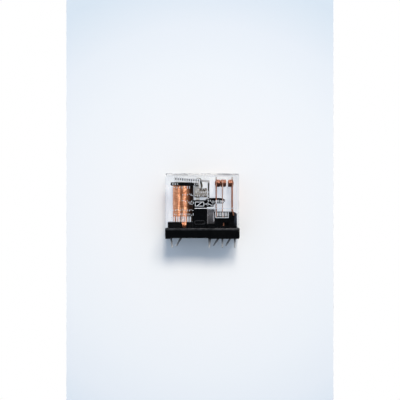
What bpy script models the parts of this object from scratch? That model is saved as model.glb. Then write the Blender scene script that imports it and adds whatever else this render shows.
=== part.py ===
"""A circuit-board relay under a clear cover: one coil works two changeover contacts.

Sizes are in metres. +X runs from the coil to the contacts, and -Y is the side that faces the viewer.
Heights are measured up from the underside of the base, which an empty carries above the pin tips.
"""

import math

import bmesh
import bpy

# Base and cover
BASE_LENGTH = 0.0290
BASE_WIDTH = 0.0130
FLANGE_HEIGHT = 0.0040
FLANGE_CORNER = 0.0004
OVERALL_HEIGHT = 0.0252
COVER_INSET = 0.0002
COVER_WALL = 0.00075
COVER_CORNER = 0.00045
RIB_WIDTH = 0.0030
RIB_DEPTH = 0.0009
RIB_TO_STRIP = 0.0004
FOOT_HEIGHT = 0.00025
FOOT_LENGTH = 0.0019
RECESS_DEPTH = 0.0010
RIM_WIDTH = 0.0016
PLINTH_HEIGHT = 0.0014
PLASTIC_EDGE = 0.00012

# Gaps between pieces that touch, between a terminal and its slot, and beside what moves
FIT = 0.00006
SLOT_CLEARANCE = 0.00008
RUNNING_GAP = 0.0003

# Pins, by the standard grid
PIN_REACH = 0.0038
PIN_PITCH = 0.0050
PIN_ROW_INSET = 0.00275
CONTACT_PIN_INSET = 0.00175
COIL_PIN_INSET = 0.00225
PIN_WIDTH = 0.0010
COIL_PIN_SIDE = 0.0006

# Coil, with the winding's side measured from the end of the base
COIL_INSET = 0.0027
CORE_TO_WINDING = 0.5
POLE_OVER_ARMATURE = 0.0001
POLE_HEIGHT = 0.0003
BOBBIN_WALL = 0.0005
BOBBIN_OVER_WINDING = 0.00039
BOBBIN_TOP_THICKNESS = 0.00115
BOBBIN_FOOT_HEIGHT = 0.0022
BOBBIN_OVERHANG = 0.0006
LEAD_SLOT_WIDTH = 0.0023
LEAD_BUNDLE_WIDTH = 0.0020
LEAD_BUNDLE_DEPTH = 0.0011

# Yoke and armature
YOKE_THICKNESS = 0.0015
YOKE_FOOT_THICKNESS = 0.0010
YOKE_TO_BLOCK = 0.00093
YOKE_TO_COIL = 0.0008
POLE_BELOW_COVER = 0.00235
OPEN_ANGLE = math.radians(4.0)
ARMATURE_THICKNESS = 0.0008
ARMATURE_LEG_THICKNESS = 0.0007
YOKE_TO_LEG = 0.00324
HINGE_SPRING_THICKNESS = 0.0002
HINGE_SPRING_WIDTH = 0.0020
HINGE_SPRING_DROP = 0.0060
HINGE_SPRING_BOW = 0.0004
HINGE_MARGIN = 0.00024
HINGE_RIVET_DIAMETER = 0.0018
HINGE_RIVET_HEIGHT = 0.0004

# Card, which the armature pushes against the two moving springs
CARD_TOP = 0.0157
CARD_HEIGHT = 0.0036
CARD_WIDTH = 0.0022
CARD_FOOT = 0.0015
CARD_NOSE = 0.0005
CARD_NOSE_HEIGHT = 0.0022
CARD_GRIP = 0.0008
CARD_WALL = 0.0003
CARD_BAR_HEIGHT = 0.0016
CARD_BAR_LENGTH = 0.0009
CARD_LOST_MOTION = 0.0004

# Contacts, stacked leftwards from the normally open strip
OPEN_STRIP_INSET = 0.0027
STRIP_THICKNESS = 0.0004
SPRING_THICKNESS = 0.00025
STRIP_TO_COVER = 0.00075
FIXED_HEAD_HEIGHT = 0.0014
MOVING_HEAD_HEIGHT = 0.0013
MOVING_BACK_HEIGHT = 0.0007
CONTACT_GAP = 0.0008
CONTACT_DIAMETER = 0.0028
SHANK_DIAMETER = 0.0011
CONTACT_BELOW_COVER = 0.00295
STRIP_BELOW_COVER = 0.0005
SPRING_OVER_CONTACT = 0.0014
SPRING_CLAMP = 0.0010

# Moulded blocks that hold the terminals
YOKE_BLOCK_HEIGHT = 0.0148
BLOCK_WALL = 0.0011
STEP_BLOCK_HEIGHT = 0.0112
CONTACT_BLOCK_HEIGHT = 0.0079
TOWER_HEIGHT = 0.0102
TOWER_ROUNDING = 0.0012
TOWER_TO_STRIP = 0.0014
BARRIER_THICKNESS = 0.0008
BARRIER_HEIGHT = 0.0103
TERMINAL_SHOULDER = 0.0044
WINDOW_WIDTH = 0.0016
WINDOW_HEIGHT = 0.0013
GROOVE_HEIGHT = 0.0014

# How each pin is bent, as its shift along X at the underside of the base and at its tip, and its tip's rise
PIN_BENDS = {
    "coil_front": (0.0000, 0.0005, 0.00005),
    "coil_rear": (-0.0011, -0.0032, 0.0002),
    "nc_front": (0.0004, -0.0001, 0.00004),
    "nc_rear": (0.0000, 0.0000, 0.0000),
    "common_front": (0.0001, 0.0001, 0.0000),
    "common_rear": (-0.0009, -0.0033, 0.0002),
    "no_front": (0.0000, 0.0000, 0.0000),
    "no_rear": (-0.0011, -0.0033, 0.0002),
}

# Places that follow from those sizes
LEFT = -BASE_LENGTH / 2
RIGHT = BASE_LENGTH / 2
INNER_HALF_LENGTH = BASE_LENGTH / 2 - COVER_INSET - COVER_WALL
INNER_HALF_WIDTH = BASE_WIDTH / 2 - COVER_INSET - COVER_WALL
INNER_TOP = OVERALL_HEIGHT - COVER_WALL
BLOCK_HALF_WIDTH = INNER_HALF_WIDTH - 2 * FIT
BLOCK_RIGHT = INNER_HALF_LENGTH - 2 * FIT

BOBBIN_HALF_WIDTH = INNER_HALF_WIDTH - RIB_DEPTH - FIT
COIL_DIAMETER = 2 * (BOBBIN_HALF_WIDTH - BOBBIN_OVER_WINDING)
COIL_X = LEFT + COIL_INSET + COIL_DIAMETER / 2
CORE_DIAMETER = COIL_DIAMETER * CORE_TO_WINDING
POLE_TOP = INNER_TOP - POLE_BELOW_COVER
BOBBIN_TOP = POLE_TOP - POLE_HEIGHT - FIT
WINDING_TOP = BOBBIN_TOP - BOBBIN_TOP_THICKNESS
BOBBIN_FOOT_TOP = FLANGE_HEIGHT + BOBBIN_FOOT_HEIGHT
YOKE_WIDTH = 2 * (BLOCK_HALF_WIDTH - BLOCK_WALL - YOKE_TO_BLOCK)
POLE_DIAMETER = YOKE_WIDTH + 2 * POLE_OVER_ARMATURE
YOKE_LEFT = COIL_X + COIL_DIAMETER / 2 + YOKE_TO_COIL
YOKE_RIGHT = YOKE_LEFT + YOKE_THICKNESS
BLOCK_LEFT = YOKE_LEFT - BLOCK_WALL
PIVOT_X = YOKE_RIGHT
PIVOT_Z = POLE_TOP + FIT
HINGE_SPRING_X = YOKE_RIGHT + FIT + HINGE_SPRING_THICKNESS / 2
HINGE_BOW_X = HINGE_SPRING_X + HINGE_SPRING_BOW
HINGE_SPRING_BOTTOM = PIVOT_Z - HINGE_SPRING_DROP
HINGE_RIVET_X = YOKE_RIGHT + HINGE_SPRING_THICKNESS + 2 * FIT
HINGE_WINDOW_RIGHT = HINGE_BOW_X + HINGE_SPRING_THICKNESS / 2 + RUNNING_GAP
LEG_WIDTH = CARD_WIDTH - 2 * CARD_WALL
LEG_LEFT = YOKE_RIGHT + YOKE_TO_LEG
LEG_RIGHT = LEG_LEFT + ARMATURE_LEG_THICKNESS

OPEN_STRIP_X = RIGHT - OPEN_STRIP_INSET
OPEN_FACE_X = OPEN_STRIP_X - STRIP_THICKNESS / 2 - FIXED_HEAD_HEIGHT
SPRING_X = OPEN_FACE_X - CONTACT_GAP - MOVING_HEAD_HEIGHT - SPRING_THICKNESS / 2
CLOSED_FACE_X = SPRING_X - SPRING_THICKNESS / 2 - MOVING_BACK_HEIGHT - FIT
CLOSED_STRIP_X = CLOSED_FACE_X - FIXED_HEAD_HEIGHT - STRIP_THICKNESS / 2
COMMON_STRIP_X = SPRING_X + SPRING_THICKNESS / 2 + FIT + STRIP_THICKNESS / 2
CONTACT_Z = INNER_TOP - CONTACT_BELOW_COVER
STRIP_TOP = INNER_TOP - STRIP_BELOW_COVER
SPRING_BOTTOM = CONTACT_BLOCK_HEIGHT + 2 * FIT
SPRING_PIVOT_Z = SPRING_BOTTOM + SPRING_CLAMP
SPRING_INSIDE = CARD_WIDTH / 2 + RUNNING_GAP
SPRING_WIDTH = INNER_HALF_WIDTH - STRIP_TO_COVER - SPRING_INSIDE
SPRING_Y = SPRING_INSIDE + SPRING_WIDTH / 2
PIN_Y = BASE_WIDTH / 2 - PIN_ROW_INSET
NO_PIN_X = RIGHT - CONTACT_PIN_INSET
COMMON_PIN_X = NO_PIN_X - PIN_PITCH
NC_PIN_X = COMMON_PIN_X - PIN_PITCH
COIL_PIN_X = LEFT + COIL_PIN_INSET

RIB_RIGHT = CLOSED_STRIP_X - STRIP_THICKNESS / 2 - RIB_TO_STRIP
RIB_LEFT = RIB_RIGHT - RIB_WIDTH
BLOCK_STEP_X = RIB_LEFT - FIT
CARD_BOTTOM = CARD_TOP - CARD_HEIGHT
CARD_LEFT = LEG_LEFT - CARD_GRIP
CARD_FOOT_RIGHT = LEG_RIGHT + CARD_FOOT
CARD_BAR_RIGHT = SPRING_X - SPRING_THICKNESS / 2 - CARD_LOST_MOTION
CARD_RIGHT = SPRING_X + SPRING_THICKNESS / 2 + CARD_LOST_MOTION + CARD_NOSE
CARD_NOSE_BOTTOM = CARD_TOP - CARD_NOSE_HEIGHT
CARD_NOSE_MIDDLE = CARD_TOP - CARD_NOSE_HEIGHT / 2
TOWER_LEFT = OPEN_STRIP_X - STRIP_THICKNESS / 2 - TOWER_TO_STRIP

SIDES = (("front", -1), ("rear", 1))


def clear_scene():
    for obj in list(bpy.data.objects):
        bpy.data.objects.remove(obj)


def new_collection(name):
    collection = bpy.data.collections.new(name)
    bpy.context.scene.collection.children.link(collection)
    return collection


clear_scene()
relay = new_collection("relay")
cutters = new_collection("relay_cutters")

frame = bpy.data.objects.new("relay_frame", None)
frame.location = (0, 0, PIN_REACH)
frame.empty_display_size = BASE_WIDTH / 2
relay.objects.link(frame)


def new_material(name, colour, roughness, metallic=0.0, transmission=0.0):
    material = bpy.data.materials.new(name)
    material.use_nodes = True
    shader = material.node_tree.nodes["Principled BSDF"]
    shader.inputs["Base Color"].default_value = (*colour, 1)
    shader.inputs["Roughness"].default_value = roughness
    shader.inputs["Metallic"].default_value = metallic
    shader.inputs["Transmission Weight"].default_value = transmission
    material.diffuse_color = (*colour, 1 - 0.7 * transmission)
    return material


BLACK_PLASTIC = ((0.012, 0.013, 0.015), 0.38)
BOBBIN_PLASTIC = ((0.010, 0.010, 0.011), 0.42)
CARD_PLASTIC = ((0.011, 0.011, 0.012), 0.4)
CLEAR_PLASTIC = ((0.95, 0.96, 0.97), 0.05, 0.0, 1.0)
COPPER = ((0.55, 0.20, 0.09), 0.32, 1.0)
STEEL = ((0.42, 0.41, 0.38), 0.35, 1.0)
TINNED = ((0.52, 0.51, 0.49), 0.38, 1.0)
BRONZE = ((0.42, 0.22, 0.11), 0.34, 1.0)
SILVER = ((0.58, 0.33, 0.22), 0.30, 1.0)


def add_part(name, mesh, look=None, location=(0, 0, 0), parent=frame):
    """An object in the relay's collection, or a cutter when it has no look."""
    obj = bpy.data.objects.new(name, mesh)
    obj.location = location
    obj.parent = parent
    if look is None:
        cutters.objects.link(obj)
        obj.hide_render = True
        obj.display_type = "WIRE"
    else:
        relay.objects.link(obj)
        mesh.materials.append(new_material(name, *look))
    return obj


def mesh_from(bm, name):
    mesh = bpy.data.meshes.new(name)
    bmesh.ops.recalc_face_normals(bm, faces=bm.faces)
    bm.to_mesh(mesh)
    bm.free()
    return mesh


def box(name, x, y, z, look=None, edge=0.0, parent=frame):
    """A box between two values on each axis, with its origin in the middle."""
    bm = bmesh.new()
    bmesh.ops.create_cube(bm, size=1)
    bmesh.ops.scale(bm, vec=(x[1] - x[0], y[1] - y[0], z[1] - z[0]), verts=bm.verts)
    middle = [(low + high) / 2 for low, high in (x, y, z)]
    obj = add_part(name, mesh_from(bm, name), look, middle, parent)
    if edge:
        round_edges(obj, edge)
    return obj


def cylinder(name, radius, z, look=None, segments=32):
    """An upright cylinder on the coil's centre line."""
    bm = bmesh.new()
    bmesh.ops.create_cone(
        bm, cap_ends=True, segments=segments, radius1=radius, radius2=radius, depth=z[1] - z[0]
    )
    return add_part(name, mesh_from(bm, name), look, (COIL_X, 0, (z[0] + z[1]) / 2))


def outline(name, points, width, look=None, edge=0.0, location=(0, 0, 0), parent=frame):
    """A flat outline in the XZ plane, thickened to a width along Y, made a mesh so that it takes Booleans."""
    curve = bpy.data.curves.new(name, "CURVE")
    curve.dimensions = "2D"
    curve.fill_mode = "BOTH"
    curve.extrude = width / 2
    spline = curve.splines.new("POLY")
    spline.points.add(len(points) - 1)
    spline.use_cyclic_u = True
    for point, (x, z) in zip(spline.points, points):
        point.co = (x, z, 0, 1)
    drawn = bpy.data.objects.new(name + "_outline", curve)
    relay.objects.link(drawn)
    graph = bpy.context.evaluated_depsgraph_get()
    flat = bpy.data.meshes.new_from_object(drawn.evaluated_get(graph))
    bpy.data.objects.remove(drawn)
    bm = bmesh.new()
    bm.from_mesh(flat)
    bpy.data.meshes.remove(flat)
    bmesh.ops.remove_doubles(bm, verts=bm.verts, dist=1e-7)
    for vert in bm.verts:
        vert.co = (vert.co.x, -vert.co.z, vert.co.y)
    obj = add_part(name, mesh_from(bm, name), look, location, parent)
    if edge:
        round_edges(obj, edge)
    return obj


def turned(name, profile, location, look, parent=frame):
    """A rivet turned about X: the profile lists (distance along X, radius) from its left end to its right."""
    bm = bmesh.new()
    verts = [bm.verts.new((x, 0, radius)) for x, radius in profile]
    for first, second in zip(verts, verts[1:]):
        bm.edges.new((first, second))
    mesh = bpy.data.meshes.new(name)
    bm.to_mesh(mesh)
    bm.free()
    obj = add_part(name, mesh, look, location, parent)
    screw = obj.modifiers.new("turn", "SCREW")
    screw.axis = "X"
    screw.steps = screw.render_steps = 24
    screw.use_merge_vertices = True
    screw.merge_threshold = 1e-6
    screw.use_normal_flip = True
    return obj


def strip(name, stations, thickness, look=None, location=(0, 0, 0), parent=frame):
    """Bent sheet metal: each station is (x, z, middle along Y, width), and Solidify gives the thickness."""
    bm = bmesh.new()
    near = [bm.verts.new((x, y - width / 2, z)) for x, z, y, width in stations]
    edges = [bm.edges.new(pair) for pair in zip(near, near[1:])]
    swept = bmesh.ops.extrude_edge_only(bm, edges=edges)["geom"]
    far = [item for item in swept if isinstance(item, bmesh.types.BMVert)]
    for vert in far:
        x, z, y, width = min(
            stations, key=lambda station: (station[0] - vert.co.x) ** 2 + (station[1] - vert.co.z) ** 2
        )
        vert.co.y = y + width / 2
    obj = add_part(name, mesh_from(bm, name), look, location, parent)
    solid = obj.modifiers.new("thickness", "SOLIDIFY")
    solid.thickness = thickness
    solid.offset = 0
    solid.use_even_offset = True
    return obj


def round_edges(obj, width, segments=2):
    bevel = obj.modifiers.new("edges", "BEVEL")
    bevel.width = width
    bevel.segments = segments
    bevel.limit_method = "ANGLE"
    bevel.angle_limit = math.radians(40)


def combine(obj, other, operation, solver):
    """Cuts the other solid from this one, or joins it, and keeps it as a hidden helper."""
    boolean = obj.modifiers.new(other.name, "BOOLEAN")
    boolean.object = other
    boolean.operation = operation
    boolean.solver = solver


def cut(obj, *others, solver="EXACT"):
    for other in others:
        combine(obj, other, "DIFFERENCE", solver)


def fuse(obj, *others, solver="EXACT"):
    for other in others:
        combine(obj, other, "UNION", solver)


def arc(centre, radius, start, end, steps=4):
    """Points (x, z) along an arc, with its angles in degrees."""
    angles = [math.radians(start + (end - start) * step / steps) for step in range(steps + 1)]
    return [(centre[0] + radius * math.cos(a), centre[1] + radius * math.sin(a)) for a in angles]


def slot_cutter(name, stations, thickness):
    """The same sheet grown by the clearance that a terminal has in its slot."""
    wider = [(x, z, y, width + 2 * SLOT_CLEARANCE) for x, z, y, width in stations]
    return strip(name, wider, thickness + 2 * SLOT_CLEARANCE)


def pin_stations(name, x, y, width):
    """The pin below the base, from its tip up, with the bends that it has."""
    at_base, at_tip, rise = PIN_BENDS[name]
    tip_z = rise - PIN_REACH
    point = 0.35 * width
    lean = (at_tip - at_base) / -tip_z
    return [
        (x + at_tip, tip_z, y, width - point),
        (x + at_tip - lean * point, tip_z + point, y, width),
        (x + at_base, 0.0, y, width),
        (x, RECESS_DEPTH, y, width),
    ]


def terminal(name, side, pin_x, upper, slot_top):
    """A contact terminal: its pin, the run inside the base and the strip that stands above it."""
    y = side[1] * PIN_Y
    below = pin_stations(f"{name}_{side[0]}", pin_x, y, PIN_WIDTH)
    strip_y = side[1] * SPRING_Y
    above = [
        (x, z, y if z < TERMINAL_SHOULDER else strip_y, PIN_WIDTH if z < TERMINAL_SHOULDER else SPRING_WIDTH)
        for x, z in upper
    ]
    made = strip(f"{name}_terminal_{side[0]}", below + above, STRIP_THICKNESS, COPPER)
    inside = [station for station in above if station[1] < slot_top]
    entry = (pin_x, RECESS_DEPTH / 2, y, PIN_WIDTH)
    last = above[len(inside)]
    share = (slot_top + STRIP_THICKNESS - inside[-1][1]) / (last[1] - inside[-1][1])
    leave = (
        inside[-1][0] + share * (last[0] - inside[-1][0]),
        slot_top + STRIP_THICKNESS,
        strip_y,
        SPRING_WIDTH,
    )
    slot = slot_cutter(f"{name}_slot_{side[0]}", [entry, *inside, leave], STRIP_THICKNESS)
    return made, slot


def nc_path():
    jog_low = RECESS_DEPTH + 0.7 * (FLANGE_HEIGHT - RECESS_DEPTH) / 3
    jog_high = RECESS_DEPTH + 2.4 * (FLANGE_HEIGHT - RECESS_DEPTH) / 3
    return [
        (NC_PIN_X, jog_low),
        (CLOSED_STRIP_X, jog_high),
        (CLOSED_STRIP_X, TERMINAL_SHOULDER - STRIP_THICKNESS),
        (CLOSED_STRIP_X, TERMINAL_SHOULDER + STRIP_THICKNESS),
        (CLOSED_STRIP_X, STRIP_TOP),
    ]


def common_path():
    jog_low = RECESS_DEPTH + (FLANGE_HEIGHT - RECESS_DEPTH) / 3
    jog_high = RECESS_DEPTH + 2 * (FLANGE_HEIGHT - RECESS_DEPTH) / 3
    return [
        (COMMON_PIN_X, jog_low),
        (COMMON_STRIP_X, jog_high),
        (COMMON_STRIP_X, TERMINAL_SHOULDER - STRIP_THICKNESS),
        (COMMON_STRIP_X, TERMINAL_SHOULDER + STRIP_THICKNESS),
        (COMMON_STRIP_X, SPRING_PIVOT_Z),
    ]


def no_path():
    lean_low = (TERMINAL_SHOULDER + CONTACT_BLOCK_HEIGHT) / 2
    lean_high = TOWER_HEIGHT + STRIP_THICKNESS * 2
    return [
        (NO_PIN_X, TERMINAL_SHOULDER - STRIP_THICKNESS),
        (NO_PIN_X, TERMINAL_SHOULDER + STRIP_THICKNESS),
        (NO_PIN_X, lean_low),
        (OPEN_STRIP_X, lean_high),
        (OPEN_STRIP_X, STRIP_TOP),
    ]


def make_base(slots):
    """The black base: flange with feet and a hollow underside, and the blocks that hold yoke and terminals."""
    half_length, half_width = BASE_LENGTH / 2, BASE_WIDTH / 2
    base = box(
        "base", (LEFT, RIGHT), (-half_width, half_width), (0, FLANGE_HEIGHT), BLACK_PLASTIC, FLANGE_CORNER
    )
    sunk = FLANGE_HEIGHT / 2
    silhouette = [
        (BLOCK_LEFT, sunk),
        (BLOCK_RIGHT, sunk),
        *arc((BLOCK_RIGHT - TOWER_ROUNDING, TOWER_HEIGHT - TOWER_ROUNDING), TOWER_ROUNDING, 0, 90),
        (TOWER_LEFT, TOWER_HEIGHT),
        (TOWER_LEFT, CONTACT_BLOCK_HEIGHT),
        (RIB_RIGHT + FIT, CONTACT_BLOCK_HEIGHT),
        (RIB_RIGHT + FIT, FLANGE_HEIGHT + PLINTH_HEIGHT),
        (BLOCK_STEP_X, FLANGE_HEIGHT + PLINTH_HEIGHT),
        (BLOCK_STEP_X, YOKE_BLOCK_HEIGHT),
        (BLOCK_LEFT, YOKE_BLOCK_HEIGHT),
    ]
    blocks = outline("base_blocks", silhouette, 2 * BLOCK_HALF_WIDTH, edge=PLASTIC_EDGE)
    set_back = BLOCK_HALF_WIDTH - RIB_DEPTH - FIT
    step = box(
        "base_step",
        (BLOCK_STEP_X - BLOCK_WALL / 2, RIB_RIGHT - FIT),
        (-set_back, set_back),
        (sunk * 1.2, STEP_BLOCK_HEIGHT),
        edge=PLASTIC_EDGE,
    )
    barrier = box(
        "base_barrier",
        (RIB_RIGHT - BLOCK_WALL, BLOCK_RIGHT - TOWER_ROUNDING),
        (-BARRIER_THICKNESS / 2, BARRIER_THICKNESS / 2),
        (sunk * 1.4, BARRIER_HEIGHT),
        edge=PLASTIC_EDGE,
    )
    foot_top = FOOT_HEIGHT * 2
    left_foot = box(
        "base_foot_left",
        (LEFT + PLASTIC_EDGE, LEFT + FOOT_LENGTH),
        (-half_width + PLASTIC_EDGE, half_width - PLASTIC_EDGE),
        (-FOOT_HEIGHT, foot_top),
        edge=PLASTIC_EDGE / 2,
    )
    right_foot = box(
        "base_foot_right",
        (NC_PIN_X - PIN_WIDTH / 2, RIGHT - 2 * PLASTIC_EDGE),
        (-half_width + PLASTIC_EDGE, half_width - PLASTIC_EDGE),
        (-FOOT_HEIGHT, foot_top),
        edge=PLASTIC_EDGE / 2,
    )
    # The exact solver leaves open edges where the small slots meet the rounded corners
    fuse(base, blocks, step, barrier, left_foot, right_foot, solver="MANIFOLD")

    inner = BLOCK_HALF_WIDTH - BLOCK_WALL
    recess = box(
        "recess_cutter",
        (LEFT + RIM_WIDTH, RIGHT - RIM_WIDTH / 2),
        (-half_width + RIM_WIDTH, half_width - RIM_WIDTH),
        (-2 * FOOT_HEIGHT, RECESS_DEPTH),
    )
    yoke_pocket = box(
        "yoke_pocket_cutter",
        (BLOCK_LEFT - BLOCK_WALL, YOKE_RIGHT + 2 * FIT),
        (-inner, inner),
        (FLANGE_HEIGHT + FIT, YOKE_BLOCK_HEIGHT + BLOCK_WALL),
    )
    card_pocket = box(
        "card_pocket_cutter",
        (CARD_LEFT - RUNNING_GAP, CARD_RIGHT + RUNNING_GAP),
        (-inner, inner),
        (CARD_BOTTOM - 2 * RUNNING_GAP, OVERALL_HEIGHT),
    )
    hinge_channel = box(
        "hinge_channel_cutter",
        (YOKE_LEFT, HINGE_RIVET_X + HINGE_RIVET_HEIGHT + RUNNING_GAP),
        (-HINGE_SPRING_WIDTH / 2 - RUNNING_GAP, HINGE_SPRING_WIDTH / 2 + RUNNING_GAP),
        (HINGE_SPRING_BOTTOM - RUNNING_GAP, OVERALL_HEIGHT),
    )
    cut(base, recess, yoke_pocket, card_pocket, hinge_channel, *slots, solver="MANIFOLD")
    for name, side in SIDES:
        outside = side * (BLOCK_HALF_WIDTH + BLOCK_WALL)
        strip_edge = side * (SPRING_Y + SPRING_WIDTH / 2 - BLOCK_WALL / 4)
        y = sorted((outside, strip_edge))
        window = box(
            f"window_cutter_{name}",
            (COMMON_STRIP_X - STRIP_THICKNESS / 2 - FIT, COMMON_STRIP_X + WINDOW_WIDTH),
            y,
            (TERMINAL_SHOULDER + STRIP_THICKNESS, TERMINAL_SHOULDER + STRIP_THICKNESS + WINDOW_HEIGHT),
        )
        groove = box(
            f"groove_cutter_{name}",
            (OPEN_STRIP_X - STRIP_THICKNESS, NO_PIN_X - STRIP_THICKNESS / 2),
            y,
            (TOWER_HEIGHT - GROOVE_HEIGHT, TOWER_HEIGHT + GROOVE_HEIGHT),
        )
        cut(base, window, groove, solver="MANIFOLD")
    return base


def make_cover():
    """The clear cover: a box open below, with a broad rib inside each long wall."""
    half_length = BASE_LENGTH / 2 - COVER_INSET
    half_width = BASE_WIDTH / 2 - COVER_INSET
    bottom = FLANGE_HEIGHT + FIT
    cover = box(
        "cover",
        (-half_length, half_length),
        (-half_width, half_width),
        (bottom, OVERALL_HEIGHT),
        CLEAR_PLASTIC,
        COVER_CORNER,
    )
    hollow = box(
        "cover_hollow_cutter",
        (-INNER_HALF_LENGTH, INNER_HALF_LENGTH),
        (-INNER_HALF_WIDTH, INNER_HALF_WIDTH),
        (bottom - COVER_WALL, INNER_TOP),
    )
    cut(cover, hollow)
    rib_bottom = FLANGE_HEIGHT + PLINTH_HEIGHT + FIT
    for name, side in SIDES:
        y = sorted((side * (INNER_HALF_WIDTH + COVER_WALL / 2), side * (INNER_HALF_WIDTH - RIB_DEPTH)))
        rib = box(
            f"cover_rib_{name}",
            (RIB_LEFT + FIT, RIB_RIGHT - FIT),
            y,
            (rib_bottom, INNER_TOP + COVER_WALL / 2),
        )
        fuse(cover, rib)
    return cover


def make_bobbin():
    """The coil's former: a foot block with a lead slot, a tube for the core and a top plate around the yoke."""
    tube_radius = CORE_DIAMETER / 2 + FIT + BOBBIN_WALL
    bottom = FLANGE_HEIGHT + FIT
    bobbin = box(
        "bobbin",
        (-BLOCK_RIGHT, BLOCK_LEFT - FIT),
        (-BLOCK_HALF_WIDTH, BLOCK_HALF_WIDTH),
        (bottom, BOBBIN_FOOT_TOP),
        BOBBIN_PLASTIC,
        PLASTIC_EDGE,
    )
    tube = cylinder("bobbin_tube", tube_radius, (BOBBIN_FOOT_TOP - BOBBIN_WALL, WINDING_TOP + BOBBIN_WALL))
    top = box(
        "bobbin_top",
        (COIL_X - COIL_DIAMETER / 2 - BOBBIN_OVERHANG, YOKE_RIGHT - BOBBIN_WALL),
        (-BOBBIN_HALF_WIDTH, BOBBIN_HALF_WIDTH),
        (WINDING_TOP, BOBBIN_TOP),
        edge=PLASTIC_EDGE,
    )
    fuse(bobbin, tube, top)
    bore = cylinder("bobbin_bore_cutter", CORE_DIAMETER / 2 + FIT, (0, OVERALL_HEIGHT))
    lead_slot = box(
        "lead_slot_cutter",
        (COIL_X - LEAD_SLOT_WIDTH / 2 + BOBBIN_WALL, COIL_X + LEAD_SLOT_WIDTH / 2 + BOBBIN_WALL),
        (-BLOCK_HALF_WIDTH - BLOCK_WALL, -YOKE_WIDTH / 2 - BOBBIN_WALL),
        (0, BOBBIN_FOOT_TOP + BOBBIN_WALL),
    )
    foot_pocket = box(
        "yoke_foot_cutter",
        (COIL_X - POLE_DIAMETER / 2 - FIT, YOKE_LEFT),
        (-YOKE_WIDTH / 2 - FIT, YOKE_WIDTH / 2 + FIT),
        (0, FLANGE_HEIGHT + YOKE_FOOT_THICKNESS + 3 * FIT),
    )
    leg_notch = box(
        "yoke_leg_cutter",
        (YOKE_LEFT - FIT, YOKE_RIGHT + BLOCK_WALL),
        (-YOKE_WIDTH / 2 - FIT, YOKE_WIDTH / 2 + FIT),
        (WINDING_TOP - BOBBIN_WALL, BOBBIN_TOP + BOBBIN_WALL),
    )
    cut(bobbin, bore, lead_slot, foot_pocket, leg_notch)
    return bobbin


def make_winding():
    """The wound copper between the bobbin's ends, with its leads bunched down the slot in front."""
    bottom = BOBBIN_FOOT_TOP + FIT
    winding = cylinder("winding", COIL_DIAMETER / 2, (bottom, WINDING_TOP - FIT), COPPER, segments=48)
    middle = COIL_X + BOBBIN_WALL
    front = -COIL_DIAMETER / 2
    leads = box(
        "winding_leads",
        (middle - LEAD_BUNDLE_WIDTH / 2, middle + LEAD_BUNDLE_WIDTH / 2),
        (front - LEAD_BUNDLE_DEPTH + 3 * FIT, front + 3 * FIT),
        (FLANGE_HEIGHT + 2 * FIT, bottom + LEAD_BUNDLE_DEPTH),
        edge=LEAD_BUNDLE_DEPTH / 5,
    )
    fuse(winding, leads)
    bore_radius = CORE_DIAMETER / 2 + BOBBIN_WALL + 2 * FIT
    cut(winding, cylinder("winding_bore_cutter", bore_radius, (0, OVERALL_HEIGHT)))
    return winding


def make_magnet():
    """The steel core with its pole face, and the angled yoke that stands beside the coil."""
    bottom = FLANGE_HEIGHT + FIT
    foot_top = bottom + YOKE_FOOT_THICKNESS
    core = cylinder("core", CORE_DIAMETER / 2, (foot_top + FIT, POLE_TOP - POLE_HEIGHT / 2), STEEL)
    fuse(core, cylinder("core_pole", POLE_DIAMETER / 2, (POLE_TOP - POLE_HEIGHT, POLE_TOP)))
    angle = [
        (COIL_X - POLE_DIAMETER / 2, bottom),
        (YOKE_RIGHT, bottom),
        (YOKE_RIGHT, POLE_TOP),
        (YOKE_LEFT, POLE_TOP),
        (YOKE_LEFT, foot_top),
        (COIL_X - POLE_DIAMETER / 2, foot_top),
    ]
    return core, outline("yoke", angle, YOKE_WIDTH, STEEL, edge=PLASTIC_EDGE)


def make_armature():
    """The armature, hinged on the yoke's top edge and drawn at rest: its arm is raised and its leg hangs upright."""
    pivot = (PIVOT_X, 0, PIVOT_Z)
    along, up = math.cos(OPEN_ANGLE), math.sin(OPEN_ANGLE)
    reach_left = PIVOT_X - (COIL_X - POLE_DIAMETER / 2) + FIT
    reach_right = LEG_RIGHT - PIVOT_X

    def on_arm(distance, height):
        return (distance * along + height * up, -distance * up + height * along)

    arm_points = [
        on_arm(-reach_left, 0),
        on_arm(reach_right / along, 0),
        on_arm(reach_right / along, ARMATURE_THICKNESS),
        on_arm(-reach_left, ARMATURE_THICKNESS),
    ]
    armature = outline("armature", arm_points, YOKE_WIDTH, STEEL, edge=PLASTIC_EDGE, location=pivot)
    leg = box(
        "armature_leg",
        (LEG_LEFT, LEG_RIGHT),
        (-LEG_WIDTH / 2, LEG_WIDTH / 2),
        (CARD_BOTTOM + CARD_GRIP, PIVOT_Z - reach_right * up + ARMATURE_THICKNESS / 2),
        edge=PLASTIC_EDGE,
    )
    fuse(armature, leg)
    height = (PIVOT_Z - ARMATURE_THICKNESS * 2, PIVOT_Z + ARMATURE_THICKNESS * 2)
    window = box(
        "armature_window_cutter",
        (PIVOT_X - FIT, HINGE_WINDOW_RIGHT),
        (-HINGE_SPRING_WIDTH / 2 - RUNNING_GAP / 2, HINGE_SPRING_WIDTH / 2 + RUNNING_GAP / 2),
        height,
    )
    cut(armature, window)
    for name, side in SIDES:
        notch = box(
            f"armature_notch_cutter_{name}",
            (HINGE_WINDOW_RIGHT + HINGE_MARGIN, LEG_RIGHT + ARMATURE_THICKNESS),
            sorted((side * (LEG_WIDTH / 2 + PLASTIC_EDGE), side * YOKE_WIDTH)),
            height,
        )
        cut(armature, notch)
    return armature


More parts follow.
